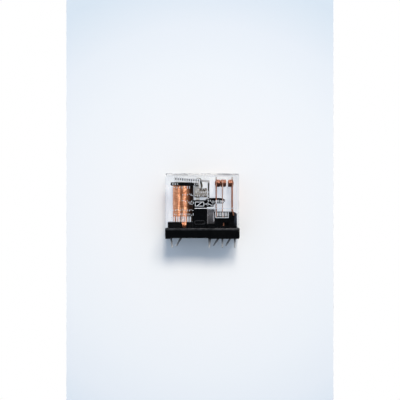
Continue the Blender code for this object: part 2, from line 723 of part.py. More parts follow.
def make_hinge_spring():
    """A leaf riveted to the yoke that passes up through the armature and bends over its top."""
    over = PIVOT_Z + ARMATURE_THICKNESS + 2 * FIT + HINGE_SPRING_THICKNESS / 2
    path = [
        (HINGE_SPRING_X, HINGE_SPRING_BOTTOM),
        (HINGE_SPRING_X, PIVOT_Z - 4 * HINGE_SPRING_THICKNESS),
        (HINGE_BOW_X, PIVOT_Z),
        (HINGE_BOW_X, over + HINGE_SPRING_THICKNESS),
        (HINGE_SPRING_X, over + 2 * HINGE_SPRING_THICKNESS),
        (YOKE_LEFT, over + 2 * HINGE_SPRING_THICKNESS),
    ]
    stations = [(x, z, 0, HINGE_SPRING_WIDTH) for x, z in path]
    spring = strip("hinge_spring", stations, HINGE_SPRING_THICKNESS, BRONZE)
    radius = HINGE_RIVET_DIAMETER / 2
    dome = [(HINGE_RIVET_HEIGHT * math.sin(a), radius * math.cos(a)) for a in quarter_turn()]
    rivet_z = HINGE_SPRING_BOTTOM + HINGE_RIVET_DIAMETER
    turned("hinge_rivet", [(0, 0), *dome], (HINGE_RIVET_X, 0, rivet_z), STEEL)
    return spring


def quarter_turn(steps=4):
    return [math.pi / 2 * step / steps for step in range(steps + 1)]


def make_card(armature):
    """The insulating card gripped on the armature's leg, with a bar across both moving springs."""
    pivot = armature.location
    chamfer = CARD_NOSE_HEIGHT / 3
    points = [
        (CARD_LEFT, CARD_BOTTOM + chamfer / 2),
        (CARD_LEFT + chamfer / 2, CARD_BOTTOM),
        (CARD_FOOT_RIGHT, CARD_BOTTOM),
        (CARD_FOOT_RIGHT + chamfer, CARD_NOSE_BOTTOM),
        (CARD_RIGHT - chamfer, CARD_NOSE_BOTTOM),
        (CARD_RIGHT, CARD_NOSE_BOTTOM + chamfer),
        (CARD_RIGHT, CARD_TOP - chamfer),
        (CARD_RIGHT - chamfer, CARD_TOP - chamfer / 3),
        (CARD_RIGHT - 3 * chamfer, CARD_TOP),
        (CARD_LEFT + chamfer / 2, CARD_TOP),
        (CARD_LEFT, CARD_TOP - chamfer / 2),
    ]
    shifted = [(x - pivot.x, z - pivot.z) for x, z in points]
    card = outline("card", shifted, CARD_WIDTH, CARD_PLASTIC, PLASTIC_EDGE, parent=armature)
    bar_half = SPRING_Y + SPRING_WIDTH / 2 - RUNNING_GAP
    bar = box(
        "card_bar",
        (CARD_BAR_RIGHT - CARD_BAR_LENGTH, CARD_BAR_RIGHT),
        (-bar_half, bar_half),
        (CARD_NOSE_MIDDLE - CARD_BAR_HEIGHT / 2, CARD_NOSE_MIDDLE + CARD_BAR_HEIGHT / 2),
        edge=PLASTIC_EDGE,
    )
    fuse(card, bar)
    socket = box(
        "card_socket_cutter",
        (LEG_LEFT - FIT, LEG_RIGHT + FIT),
        (-LEG_WIDTH / 2 - FIT, LEG_WIDTH / 2 + FIT),
        (CARD_BOTTOM + CARD_GRIP - FIT, CARD_TOP + CARD_GRIP),
    )
    cut(card, socket)
    return card


def contact_profile(head, spring, tail):
    """A riveted contact from its domed face at 0 back through the spring to its tail."""
    radius, shank = CONTACT_DIAMETER / 2, SHANK_DIAMETER / 2
    dome = CONTACT_DIAMETER / 14
    face = [(dome * (1 - math.cos(a)), radius * math.sin(a)) for a in quarter_turn()]
    back = head + 2 * FIT + spring
    body = [(head, radius), (head, shank), (back, shank)]
    return [*face, *body, (back, 1.5 * shank), (back + tail, 1.3 * shank), (back + tail, 0)]


def shank_hole(name, x, y):
    """A hole along X for a contact's shank."""
    bm = bmesh.new()
    radius = SHANK_DIAMETER / 2 + SLOT_CLEARANCE
    bmesh.ops.create_cone(
        bm, cap_ends=True, segments=24, radius1=radius, radius2=radius, depth=STRIP_THICKNESS * 4
    )
    for vert in bm.verts:
        vert.co = (vert.co.z, vert.co.y, -vert.co.x)
    return add_part(name, mesh_from(bm, name), None, (x, y, CONTACT_Z))


def make_pole(side):
    """One changeover set: two fixed strips, the moving spring between them and their contacts."""
    name, sign = side
    y = sign * SPRING_Y
    nc, nc_slot = terminal("nc", side, NC_PIN_X, nc_path(), CONTACT_BLOCK_HEIGHT)
    common, common_slot = terminal("common", side, COMMON_PIN_X, common_path(), CONTACT_BLOCK_HEIGHT)
    no, no_slot = terminal("no", side, NO_PIN_X, no_path(), TOWER_HEIGHT)
    cut(nc, shank_hole(f"nc_hole_{name}", CLOSED_STRIP_X, y))
    cut(no, shank_hole(f"no_hole_{name}", OPEN_STRIP_X, y))

    fixed = contact_profile(FIXED_HEAD_HEIGHT - FIT, STRIP_THICKNESS, STRIP_THICKNESS / 2)
    turned(f"no_contact_{name}", fixed, (OPEN_FACE_X, y, CONTACT_Z), SILVER)
    mirrored = [(-x, radius) for x, radius in reversed(fixed)]
    turned(f"nc_contact_{name}", mirrored, (CLOSED_FACE_X, y, CONTACT_Z), SILVER)

    pivot = (SPRING_X, y, SPRING_PIVOT_Z)
    spring_top = CONTACT_Z + SPRING_OVER_CONTACT
    stations = [
        (0, SPRING_BOTTOM - SPRING_PIVOT_Z, 0, SPRING_WIDTH),
        (0, 0, 0, SPRING_WIDTH),
        (0, CONTACT_Z - SPRING_PIVOT_Z - CONTACT_DIAMETER, 0, SPRING_WIDTH),
        (0, spring_top - SPRING_PIVOT_Z, 0, CONTACT_DIAMETER),
    ]
    spring = strip(f"moving_spring_{name}", stations, SPRING_THICKNESS, BRONZE, pivot)
    cut(spring, shank_hole(f"moving_hole_{name}", SPRING_X, y))
    make_moving_contact(name, spring)
    return [nc_slot, common_slot, no_slot]


def make_moving_contact(name, spring):
    """The double-faced contact riveted through the moving spring."""
    radius, shank = CONTACT_DIAMETER / 2, SHANK_DIAMETER / 2
    dome = CONTACT_DIAMETER / 14
    half = SPRING_THICKNESS / 2
    angles = quarter_turn()
    left = -half - MOVING_BACK_HEIGHT
    right = half + MOVING_HEAD_HEIGHT
    profile = [
        *[(left + dome * (1 - math.cos(a)), radius * math.sin(a)) for a in angles],
        (-half - FIT, radius),
        (-half - FIT, shank),
        (half + FIT, shank),
        (half + FIT, radius),
        *[(right - dome * (1 - math.cos(a)), radius * math.sin(a)) for a in reversed(angles)],
    ]
    location = (0, 0, CONTACT_Z - SPRING_PIVOT_Z)
    return turned(f"moving_contact_{name}", profile, location, SILVER, spring)


def make_coil_pins():
    """The two square coil pins, which end in the base just under the bobbin."""
    slots = []
    places = {"front": COIL_PIN_X, "rear": COIL_PIN_X + PIN_PITCH}
    for name, sign in SIDES:
        x, y = places[name], sign * PIN_Y
        below = pin_stations(f"coil_{name}", x, y, COIL_PIN_SIDE)
        top = (x, FLANGE_HEIGHT - FIT, y, COIL_PIN_SIDE)
        strip(f"coil_pin_{name}", [*below, top], COIL_PIN_SIDE, TINNED)
        inside = [(x, RECESS_DEPTH / 2, y, COIL_PIN_SIDE), (x, FLANGE_HEIGHT * 1.02, y, COIL_PIN_SIDE)]
        slots.append(slot_cutter(f"coil_pin_slot_{name}", inside, COIL_PIN_SIDE))
    return slots


slots = make_coil_pins()
for side in SIDES:
    slots += make_pole(side)
make_base(slots)
make_cover()
make_bobbin()
make_winding()
make_magnet()
armature = make_armature()
make_card(armature)
make_hinge_spring()
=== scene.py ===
import math
import random

import bmesh
import bpy
from mathutils import Matrix, Vector


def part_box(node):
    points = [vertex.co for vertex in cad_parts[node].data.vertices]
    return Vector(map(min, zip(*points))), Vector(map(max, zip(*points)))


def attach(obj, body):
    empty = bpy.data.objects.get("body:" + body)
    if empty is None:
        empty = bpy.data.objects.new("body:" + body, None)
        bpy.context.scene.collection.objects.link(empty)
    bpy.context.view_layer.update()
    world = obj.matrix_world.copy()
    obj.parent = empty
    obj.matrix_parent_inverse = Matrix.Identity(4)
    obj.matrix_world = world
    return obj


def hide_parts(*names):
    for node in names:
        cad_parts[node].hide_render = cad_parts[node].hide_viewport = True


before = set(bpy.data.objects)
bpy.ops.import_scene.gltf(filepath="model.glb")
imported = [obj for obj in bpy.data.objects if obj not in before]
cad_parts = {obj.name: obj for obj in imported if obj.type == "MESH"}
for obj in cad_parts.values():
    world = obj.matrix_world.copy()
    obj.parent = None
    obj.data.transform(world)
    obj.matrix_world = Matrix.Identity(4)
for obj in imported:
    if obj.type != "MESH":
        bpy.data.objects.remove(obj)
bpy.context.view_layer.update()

mm = 0.001
housing = "housing"
random.seed(7)
print("relay: frame loaded,", len(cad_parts), "solids")


def cornersOf(node):
    low, high = (Vector(corner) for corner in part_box(node))
    return low, high


coverLow, coverHigh = cornersOf("cover")
flangeTop = coverLow.z
baseBottom = 3.8 * mm  # the base's underside, above the pin tips


# World height of a point given in mm over the base's underside
def heightOf(z):
    return baseBottom + z * mm


def heights(*values):
    return tuple(heightOf(z) for z in values)


# Shader maths


# A socket that takes part in sums, where each operator adds its Math node
class Amount:
    def __init__(self, finish, socket):
        self.finish = finish
        self.socket = socket

    def join(self, operation, first, second=0.0):
        return self.finish.node("ShaderNodeMath", {"operation": operation}, {0: first, 1: second})

    def __add__(self, other):
        return self.join("ADD", self, other)

    def __radd__(self, other):
        return self.join("ADD", other, self)

    def __sub__(self, other):
        return self.join("SUBTRACT", self, other)

    def __rsub__(self, other):
        return self.join("SUBTRACT", other, self)

    def __mul__(self, other):
        return self.join("MULTIPLY", self, other)

    def __rmul__(self, other):
        return self.join("MULTIPLY", other, self)

    def __truediv__(self, other):
        return self.join("DIVIDE", self, other)

    def __rtruediv__(self, other):
        return self.join("DIVIDE", other, self)

    def __lt__(self, other):
        return self.join("LESS_THAN", self, other)

    def __gt__(self, other):
        return self.join("GREATER_THAN", self, other)

    def clamped(self):
        return self.finish.node("ShaderNodeClamp", {}, {"Value": self})


# One node tree under construction: a material's, or the world's
class Finish:
    def __init__(self, tree):
        self.tree = tree
        tree.nodes.clear()

    def node(self, kind, settings=None, sockets=None, out=0):
        made = self.tree.nodes.new(kind)
        for key, setting in (settings or {}).items():
            if key == "stops":
                self.setStops(made.color_ramp, setting)
            else:
                setattr(made, key, setting)
        for key, given in (sockets or {}).items():
            if isinstance(given, Amount):
                self.tree.links.new(given.socket, made.inputs[key])
            else:
                made.inputs[key].default_value = given
        return Amount(self, made.outputs[out]) if len(made.outputs) else None

    def setStops(self, ramp, stops):
        while len(ramp.elements) < len(stops):
            ramp.elements.new(1.0)
        for element, (position, colour) in zip(ramp.elements, stops):
            element.position = position
            element.color = (*colour, 1)

    def place(self, stretch=(1, 1, 1)):
        here = self.node("ShaderNodeTexCoord", out="Object")
        if stretch == (1, 1, 1):
            return here
        return self.node("ShaderNodeMapping", {}, {"Vector": here, "Scale": stretch})

    def axis(self, letter):
        return self.node("ShaderNodeSeparateXYZ", {}, {0: self.place()}, out=letter)

    # Noise whose grain is given as its real size
    def grain(self, size, detail=3.0, rough=0.55, stretch=(1, 1, 1)):
        sockets = {"Vector": self.place(stretch), "Scale": 1 / size, "Detail": detail, "Roughness": rough}
        return self.node("ShaderNodeTexNoise", {}, sockets)

    def ramp(self, amount, stops):
        return self.node("ShaderNodeValToRGB", {"stops": stops}, {"Fac": amount})

    def blendColours(self, amount, first, second):
        sockets = {0: amount, 6: self.colour(first), 7: self.colour(second)}
        return self.node("ShaderNodeMix", {"data_type": "RGBA"}, sockets, out=2)

    def colour(self, given):
        return given if isinstance(given, Amount) else (*given, 1)

    # 0 at low and 1 at high, which may be the lesser of the two
    def between(self, amount, low, high):
        sockets = {"Value": amount, "From Min": low, "From Max": high}
        return self.node("ShaderNodeMapRange", {"clamp": True}, sockets)

    # 1 between the two middle places, and 0 beyond the outer ones
    def band(self, amount, places):
        start, full, leaving, end = places
        return self.between(amount, start, full) * self.between(amount, end, leaving)

    def bump(self, height, distance, strength=1.0):
        sockets = {"Height": height, "Distance": distance, "Strength": strength}
        return self.node("ShaderNodeBump", {}, sockets, out="Normal")

    def principled(self, sockets):
        return self.node("ShaderNodeBsdfPrincipled", {}, sockets)

    def nothing(self):
        return self.node("ShaderNodeBsdfTransparent", {}, {})

    def pick(self, amount, first, second):
        return self.node("ShaderNodeMixShader", {}, {0: amount, 1: first, 2: second})


def newFinish(name, make):
    material = bpy.data.materials.new(name)
    material.use_nodes = True
    finish = Finish(material.node_tree)
    surface = make(finish)
    finish.node("ShaderNodeOutputMaterial", {}, {"Surface": surface})
    return material


# Finishes. Places along an axis are given as where something starts, is full, starts to end and has ended.

plastic = {
    "colour": (0.0022, 0.0026, 0.0034),
    "dust": (0.010, 0.0105, 0.012),
    "grain": 0.11 * mm,
    "grainDepth": 0.0015 * mm,
    "patch": 2.3 * mm,
    "speck": 0.35 * mm,
    "roughness": 0.20,
    "shine": 0.2,
    "edge": (0.050, 0.052, 0.057),  # painted highlight along the flange's upper edge, broken up by noise
    "edgeHighlightHeights": heights(2.95, 3.50, 3.82, 3.92),
    "highlightBreakup": 1.8 * mm,
    "sheen": (0.050, 0.056, 0.075),  # paper mirrored in the contact block's right end
    "sheenAcross": (12.2 * mm, 13.4 * mm),
    "sheenHeights": heights(4.6, 6.6, 9.6, 11.2),
}


# Black plastic with random dust and specks, a painted highlight along the flange's upper edge and a painted
# reflection of the paper on the contact block's right end
def mouldedPlastic(finish):
    height = finish.axis("Z")
    breakup = finish.between(finish.grain(plastic["highlightBreakup"], detail=5.0), 0.20, 0.62)
    edge = finish.band(height, plastic["edgeHighlightHeights"]) * breakup
    sheen = finish.between(finish.axis("X"), *plastic["sheenAcross"]) * finish.band(height, plastic["sheenHeights"])
    patches = finish.between(finish.grain(plastic["patch"]), 0.42, 0.72)
    specks = finish.between(finish.grain(plastic["speck"], detail=5.0, rough=0.7), 0.60, 0.74)
    tone = finish.blendColours(0.5 * specks * patches, plastic["colour"], plastic["dust"])
    tone = finish.blendColours(sheen, tone, plastic["sheen"])
    return finish.principled({
        "Base Color": finish.blendColours(edge, tone, plastic["edge"]),
        "Roughness": plastic["roughness"] + 0.06 * patches + 0.10 * specks,
        "Specular IOR Level": plastic["shine"],
        "Normal": finish.bump(finish.grain(plastic["grain"], detail=2.0), plastic["grainDepth"], 0.4),
    })


bobbinPlastic = {
    "colour": (0.0020, 0.0023, 0.0030), "worn": (0.0045, 0.0045, 0.005), "roughness": 0.26,
    "streak": 0.4 * mm, "streakDepth": 0.003 * mm,
}


def formerPlastic(finish):
    flow = finish.grain(bobbinPlastic["streak"], stretch=(1, 1, 0.2))
    return finish.principled({
        "Base Color": finish.ramp(flow, [(0.4, bobbinPlastic["colour"]), (0.8, bobbinPlastic["worn"])]),
        "Roughness": bobbinPlastic["roughness"] + 0.10 * flow,
        "Specular IOR Level": plastic["shine"],
        "Normal": finish.bump(flow, bobbinPlastic["streakDepth"], 0.4),
    })


ridge = {"deep": (0.012, 0.013, 0.015), "palePatches": (0.042, 0.045, 0.050), "patch": 0.5 * mm, "roughness": 0.45}


# Raised lines on the plastic, paler than the rest in random patches
def paleRidgePlastic(finish):
    palePatches = finish.grain(ridge["patch"], detail=4.0)
    return finish.principled({
        "Base Color": finish.ramp(palePatches, [(0.35, ridge["deep"]), (0.65, ridge["palePatches"])]),
        "Roughness": ridge["roughness"] + 0.1 * palePatches,
        "Specular IOR Level": plastic["shine"],
    })


clear = {
    "roughness": 0.02, "ior": 1.42, "passing": (0.99, 0.992, 0.995), "gloss": (0.80, 0.81, 0.83),
    "haze": 1.1 * mm, "ripple": 4.0 * mm, "rippleDepth": 0.006 * mm,
}


# Thin clear plastic: what is straight behind it shows through, and its gloss grows towards its edges
def clearPlastic(finish):
    haze = finish.between(finish.grain(clear["haze"], detail=6.0, rough=0.7), 0.55, 0.80)
    gloss = finish.principled({
        "Base Color": (*clear["gloss"], 1),
        "Metallic": 1.0,
        "Roughness": clear["roughness"] + 0.05 * haze,
        "Normal": finish.bump(finish.grain(clear["ripple"], detail=1.0), clear["rippleDepth"], 0.4),
    })
    passing = finish.node("ShaderNodeBsdfTransparent", {}, {"Color": (*clear["passing"], 1)})
    # Blender turns the index round where a ray leaves, which would make a straight ray there bounce back
    leaving = finish.node("ShaderNodeNewGeometry", out="Backfacing")
    entering, backward = (
        finish.node("ShaderNodeFresnel", {}, {"IOR": index}) for index in (clear["ior"], 1 / clear["ior"])
    )
    return finish.pick(entering * (1 - leaving) + backward * leaving, passing, gloss)


wire = {
    "pitch": 0.13 * mm,
    "dark": (0.42, 0.125, 0.052),
    "middle": (0.74, 0.30, 0.15),
    "light": (0.97, 0.59, 0.36),
    "roughness": 0.27,
    "varnish": 0.35,
    "strands": 0.9 * mm,
    "layers": 2.6 * mm,
    "shade": (0.060, 0.026, 0.020),  # painted shade on the side towards the yoke
    "shadeAcross": (-6.1 * mm, -4.8 * mm),
}


def enamelledWire(finish):
    strands = finish.grain(wire["strands"], detail=4.0, rough=0.65, stretch=(0.35, 0.35, 4.0))
    layers = finish.grain(wire["layers"], detail=2.0, stretch=(0.6, 0.6, 1.0))
    stops = [(0.34, wire["dark"]), (0.50, wire["middle"]), (0.66, wire["light"])]
    shaded = finish.between(finish.axis("X"), *wire["shadeAcross"])
    return finish.principled({
        "Base Color": finish.blendColours(
            0.85 * shaded, finish.ramp(0.6 * strands + 0.4 * layers, stops), wire["shade"]
        ),
        "Metallic": 0.92,
        "Roughness": wire["roughness"] + 0.12 * strands,
        "Coat Weight": wire["varnish"],
        "Coat Roughness": 0.12,
    })


drawn = {"grain": 0.10 * mm, "depth": 0.006 * mm}


# Metal with fine lines along the way in which it was drawn
def drawnMetal(finish, look, colour, metallic):
    lines = finish.grain(drawn["grain"], detail=4.0, stretch=look["stretch"])
    return finish.principled({
        "Base Color": colour,
        "Metallic": metallic,
        "Roughness": look["roughness"] + 0.18 * lines,
        "Normal": finish.bump(lines, drawn["depth"], 0.45),
    })


metals = {
    "steel": {
        "name": "platedSteel", "colour": (0.68, 0.66, 0.62), "dull": (0.40, 0.36, 0.31),
        "roughness": 0.26, "stretch": (0.2, 1, 1),
    },
    "bronze": {
        "name": "springBronze", "colour": (0.76, 0.52, 0.42), "dull": (0.46, 0.24, 0.17),
        "roughness": 0.25, "stretch": (1, 1, 0.1),
    },
    "spring": {
        "name": "springSteel", "colour": (0.16, 0.145, 0.12), "dull": (0.075, 0.062, 0.048),
        "roughness": 0.34, "stretch": (1, 1, 1),
    },
}
metalStain = 1.3 * mm


def metal(look):
    def make(finish):
        stain = finish.between(finish.grain(metalStain, detail=5.0, rough=0.65), 0.48, 0.72)
        tone = finish.blendColours(0.5 * stain, look["colour"], look["dull"])
        return drawnMetal(finish, look, tone, 0.6 - 0.12 * stain)

    return make


# Rivet heads: a painted highlight above and painted shade below
contactLook = {
    "bright": (0.58, 0.25, 0.155), "shadeBelow": (0.13, 0.045, 0.032), "rise": heights(20.5, 22.7),
    "cloud": 0.7 * mm, "waver": 0.9 * mm, "roughness": 0.22,
}


def contactAlloy(finish):
    cloud = finish.grain(contactLook["cloud"], detail=4.0)
    rise = finish.between(finish.axis("Z") + contactLook["waver"] * (cloud - 0.5), *contactLook["rise"])
    return finish.principled({
        "Base Color": finish.blendColours(rise, contactLook["shadeBelow"], contactLook["bright"]),
        "Metallic": 0.75,
        "Roughness": contactLook["roughness"] + 0.15 * cloud,
        "Normal": finish.bump(cloud, 0.01 * mm, 0.4),
    })


# The hinge spring's clip: paler at its top than lower down, stained, and with painted shade along its foot
clipLook = {
    "pale": (0.62, 0.595, 0.56), "low": (0.29, 0.27, 0.24), "stain": (0.12, 0.10, 0.085),
    "foot": (0.07, 0.062, 0.055), "rise": heights(16.3, 19.6), "footHeights": heights(16.45, 16.15),
    "patch": 0.9 * mm, "roughness": 0.36, "stretch": (0.2, 1, 1),
}


def clipSteel(finish):
    height = finish.axis("Z")
    stain = finish.between(finish.grain(clipLook["patch"], detail=5.0, rough=0.65), 0.46, 0.72)
    tone = finish.blendColours(finish.between(height, *clipLook["rise"]), clipLook["low"], clipLook["pale"])
    tone = finish.blendColours(0.65 * stain, tone, clipLook["stain"])
    foot = finish.between(height, *clipLook["footHeights"])
    return drawnMetal(finish, clipLook, finish.blendColours(foot, tone, clipLook["foot"]), 0.35)


# Pins: painted shade at the root, next to the base, and brighter towards the tip
pinLook = {
    "root": (0.085, 0.083, 0.088), "tip": (0.60, 0.59, 0.58), "fall": heights(-0.4, -3.3),
    "cloud": 0.5 * mm, "waver": 1.6 * mm, "roughness": 0.30,
}


def tinnedPin(finish):
    cloud = finish.grain(pinLook["cloud"], detail=5.0)
    fall = finish.between(finish.axis("Z") + pinLook["waver"] * (cloud - 0.5), *pinLook["fall"])
    return finish.principled({
        "Base Color": finish.blendColours(fall, pinLook["root"], pinLook["tip"]),
        "Metallic": 0.5,
        "Roughness": pinLook["roughness"] + 0.15 * cloud,
        "Normal": finish.bump(cloud, 0.02 * mm, 0.5),
    })


# The armature: dark over the coil, and with a painted highlight on its arm beyond the hinge
armatureLook = {
    "dull": (0.058, 0.055, 0.052), "bright": (0.62, 0.62, 0.63), "leg": (0.10, 0.10, 0.098),
    "roughness": 0.30, "stretch": (0.2, 1, 1),
    "highlightAcross": (-1.2 * mm, 0.1 * mm), "armHeights": heights(21.4, 22.0),
}


def armatureSteel(finish):
    arm = finish.between(finish.axis("Z"), *armatureLook["armHeights"])
    stain = finish.grain(metalStain, detail=5.0)
    bright = finish.between(finish.axis("X"), *armatureLook["highlightAcross"]) * arm * (0.75 + 0.5 * stain).clamped()
    plate = finish.blendColours(arm, armatureLook["leg"], armatureLook["dull"])
    return drawnMetal(finish, armatureLook, finish.blendColours(bright, plate, armatureLook["bright"]), 0.35)


# Copper strip above the base, paler at its upper tip, and dipped in tin below
strip = {
    "copper": (0.62, 0.285, 0.185),
    "tarnish": (0.17, 0.050, 0.030),
    "tin": (0.46, 0.455, 0.44),
    "dullTin": (0.25, 0.245, 0.235),
    "tip": (0.72, 0.68, 0.66),
    "tipHeights": heights(22.6, 23.1),
    "dipEnd": heightOf(0.85),
    "dipWave": 0.7 * mm,
    "patch": 0.9 * mm,
    "lines": 0.12 * mm,
    "lineDepth": 0.004 * mm,
}


def dippedStrip(finish):
    height = finish.axis("Z")
    dipped = height + 0.5 * mm * finish.grain(strip["dipWave"]) < strip["dipEnd"]
    stain = finish.between(finish.grain(strip["patch"], detail=5.0, rough=0.7), 0.44, 0.68)
    lines = finish.grain(strip["lines"], stretch=(1, 1, 0.1))
    copper = finish.blendColours(0.75 * stain, strip["copper"], strip["tarnish"])
    copper = finish.blendColours(finish.between(height, *strip["tipHeights"]), copper, strip["tip"])
    tin = finish.blendColours(0.5 * stain, strip["tin"], strip["dullTin"])
    return finish.principled({
        "Base Color": finish.blendColours(dipped, copper, tin),
        "Metallic": 0.7,
        "Roughness": 0.26 + 0.16 * lines + 0.10 * stain,
        "Normal": finish.bump(lines, strip["lineDepth"], 0.4),
    })


printInk = {"colour": (0.74, 0.76, 0.79), "thin": (0.54, 0.55, 0.575), "roughness": 0.5, "blotch": 0.25 * mm}


def stampedInk(finish):
    blotch = finish.grain(printInk["blotch"], detail=4.0, rough=0.7)
    return finish.principled({
        "Base Color": finish.ramp(blotch, [(0.30, printInk["thin"]), (0.52, printInk["colour"])]),
        "Roughness": printInk["roughness"] + 0.1 * blotch,
    })


paperLook = {
    "middle": (1.0 * mm, 0.0, 10.0 * mm),
    "tones": [
        (0.20, (0.922, 0.936, 0.943)), (0.40, (0.908, 0.922, 0.936)), (0.62, (0.872, 0.903, 0.928)),
        (0.80, (0.820, 0.864, 0.908)), (1.00, (0.695, 0.782, 0.858)),
    ],
    "reach": 100 * mm,
    "fibre": 0.6 * mm,
    "glow": (0.50, 0.555, 0.615),  # painted glow that the paper gives off under the cover
    "glowAcross": (coverLow.x - 0.7 * mm, coverHigh.x + 0.3 * mm),
    "glowHeights": (coverLow.z - 2 * mm, coverHigh.z),
    "glowSoft": 1.1 * mm,
    # axis, where the glow is least and where it is full, and its least share
    "glowFades": [
        ("X", 1.0 * mm, 5.0 * mm, 0.74), ("X", 13.9 * mm, 7.8 * mm, 0.52), ("Z", *heights(24.5, 19.0), 0.42),
    ],
}


# White paper with painted shade that greys it towards its corners. Under the clear cover it also gives off a painted
# glow. Its back lets everything through, for views from behind.
def whitePaper(finish):
    outward = finish.node(
        "ShaderNodeVectorMath", {"operation": "DISTANCE"}, {0: finish.place(), 1: paperLook["middle"]}, out="Value"
    )
    soft = paperLook["glowSoft"]
    glow = 1.0
    for letter, (low, high) in (("X", paperLook["glowAcross"]), ("Z", paperLook["glowHeights"])):
        glow = finish.band(finish.axis(letter), (low, low + soft, high - soft, high)) * glow
    for letter, least, full, share in paperLook["glowFades"]:
        glow = glow * (share + (1 - share) * finish.between(finish.axis(letter), least, full))
    front = finish.principled({
        "Base Color": finish.ramp(outward / paperLook["reach"], paperLook["tones"]),
        "Roughness": 0.9,
        "Specular IOR Level": 0.05,
        "Normal": finish.bump(finish.grain(paperLook["fibre"], detail=5.0), 0.01 * mm, 0.25),
        "Emission Color": finish.blendColours(glow, (0, 0, 0), paperLook["glow"]),
        "Emission Strength": 1.0,
    })
    behind = finish.node("ShaderNodeNewGeometry", out="Backfacing")
    return finish.pick(behind, front, finish.nothing())


# Frosting on the lower half of the cover's ribs, thinnest at the bottom, with a painted highlight near its right
# edge and a fainter one along its left edge
frosting = {
    "pale": (0.66, 0.65, 0.69), "deep": (0.55, 0.54, 0.58),
    "least": 0.035, "most": 0.11, "rise": heights(5.5, 11.0),
    "glint": 0.60, "glintAcross": (4.15 * mm, 4.40 * mm), "glintHeights": heights(6.2, 7.2, 8.4, 10.4),
    "leftGlint": 0.35, "leftAcross": (2.25 * mm, 2.05 * mm),
    "cloud": 1.4 * mm,
}


def frostedRib(finish):
    height = finish.axis("Z")
    across = finish.axis("X")
    cloud = finish.grain(frosting["cloud"], detail=4.0)
    rising = finish.between(height, *frosting["rise"])
    glint = finish.between(across, *frosting["glintAcross"]) * finish.band(height, frosting["glintHeights"])
    glint = glint + frosting["leftGlint"] * finish.between(across, *frosting["leftAcross"])
    film = finish.principled({
        "Base Color": finish.ramp(cloud, [(0.3, frosting["deep"]), (0.7, frosting["pale"])]),
        "Roughness": 0.55 + 0.2 * cloud,
        "Specular IOR Level": 0.2,
    })
    amount = (frosting["least"] + frosting["most"] * rising) * (0.7 + 0.6 * cloud) + frosting["glint"] * glint
    return finish.pick(amount.clamped(), finish.nothing(), film)


# Painted reflection along the cover's edges, where the plastic is seen through its length
edgeLook = {
    "colour": (0.27, 0.28, 0.31), "least": 0.03, "most": 0.62, "upright": 0.12, "topHeights": heights(24.2, 24.8),
    "streak": 4.5 * mm,
}


def clearEdge(finish):
    along = finish.grain(edgeLook["streak"], rough=0.6)
    shade = finish.principled({
        "Base Color": (*edgeLook["colour"], 1),
        "Roughness": 0.5 + 0.2 * along,
        "Specular IOR Level": 0.2,
    })
    top = finish.between(finish.axis("Z"), *edgeLook["topHeights"])
    share = edgeLook["upright"] + (1 - edgeLook["upright"]) * top
    amount = edgeLook["least"] + edgeLook["most"] * finish.between(along, 0.47, 0.62) * share
    return finish.pick(amount, finish.nothing(), shade)


finishes = {
    "plastic": newFinish("blackPlastic", mouldedPlastic),
    "former": newFinish("bobbinPlastic", formerPlastic),
    "clear": newFinish("clearPlastic", clearPlastic),
    "ridge": newFinish("paleRidgePlastic", paleRidgePlastic),
    "wire": newFinish("enamelledWire", enamelledWire),
    "armature": newFinish("armatureSteel", armatureSteel),
    "strip": newFinish("dippedStrip", dippedStrip),
    "clip": newFinish("clipSteel", clipSteel),
    "contact": newFinish("contactAlloy", contactAlloy),
    "tin": newFinish("tinnedPin", tinnedPin),
    "ink": newFinish("stampedInk", stampedInk),
    "frost": newFinish("frostedRib", frostedRib),
    "edge": newFinish("clearEdge", clearEdge),
    "paper": newFinish("whitePaper", whitePaper),
}
for key, look in metals.items():
    finishes[key] = newFinish(look["name"], metal(look))
print("relay: finishes made")


# What each solid of the frame is finished in
finishOf = {
    "base": "plastic", "card": "plastic", "bobbin": "former", "cover": "clear",
    "core": "steel", "yoke": "steel", "armature": "armature", "hinge_rivet": "steel",
    "hinge_spring": "bronze", "coil_pin_front": "tin", "coil_pin_rear": "tin",
}
for end in ("front", "rear"):
    for part in ("nc_terminal", "common_terminal", "no_terminal"):
        finishOf[f"{part}_{end}"] = "strip"
    for part in ("nc_contact", "no_contact", "moving_contact"):
        finishOf[f"{part}_{end}"] = "contact"
    finishOf[f"moving_spring_{end}"] = "bronze"

for node, look in finishOf.items():
    for slot in bpy.data.objects[node].material_slots:
        slot.material = finishes[look]


# Building pieces


def addObject(name, data):
    made = bpy.data.objects.new(name, data)
    bpy.context.scene.collection.objects.link(made)
    return made


def addPiece(name, mesh, look):
    piece = addObject(name, mesh)
    mesh.materials.append(finishes[look])
    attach(piece, housing)
    return piece


def smoothed(mesh, angle=35):
    mesh.shade_smooth()
    mesh.set_sharp_from_angle(angle=math.radians(angle))
    return mesh


def meshOf(name, bm):
    bmesh.ops.recalc_face_normals(bm, faces=bm.faces)
    mesh = bpy.data.meshes.new(name)
    bm.to_mesh(mesh)
    bm.free()
    return mesh


# Faces between each loop of points and the next
def bridge(bm, loops):
    for first, second in zip(loops, loops[1:]):
        for side in range(len(first)):
            after = (side + 1) % len(first)
            bm.faces.new((first[side], first[after], second[after], second[side]))


def closedSkin(bm, loops):
    bridge(bm, loops)
    bm.faces.new(loops[0])
    bm.faces.new(loops[-1])


# A flat plate between two depths, given in mm by its outline in x and z
def plate(bm, outline, near, far):
    closedSkin(bm, [[bm.verts.new((x * mm, y * mm, heightOf(z))) for x, z in outline] for y in (near, far)])


def circle(centre, radius, steps=20):
    angles = [2 * math.pi * step / steps for step in range(steps)]
    return [(centre[0] + radius * math.cos(a), centre[1] + radius * math.sin(a)) for a in angles]


